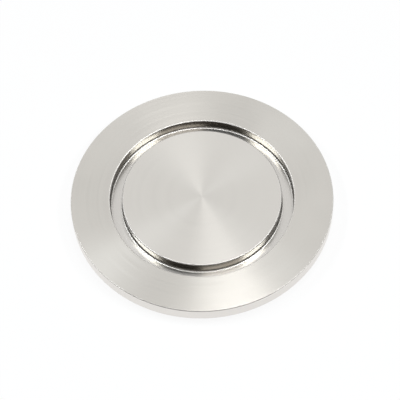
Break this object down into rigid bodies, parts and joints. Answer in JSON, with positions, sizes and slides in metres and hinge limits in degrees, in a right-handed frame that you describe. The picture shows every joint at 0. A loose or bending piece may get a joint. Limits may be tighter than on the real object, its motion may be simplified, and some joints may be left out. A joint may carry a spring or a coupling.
{
  "type": "blind flange",
  "caption": "Turned stainless steel blind flange that closes a clamped pipe end: flat sealing ring, ring groove for a centring ring, centre disc and clamping cone.",
  "frame": {"origin": "middle of the flat back face, on which the flange lies", "axes": "+Z along the turning axis, out of the sealing face; X and Y lie in the back face and are free to choose, because the flange is round"},
  "size_m": [0.075, 0.075, 0.0064],
  "materials": {
    "stainless_steel": "fine turned finish with round tool marks, satin on the faces and brighter on the groove's walls"
  },
  "bodies": {
    "root": {"blind_flange": "stainless_steel"}
  },
  "joints": []
}
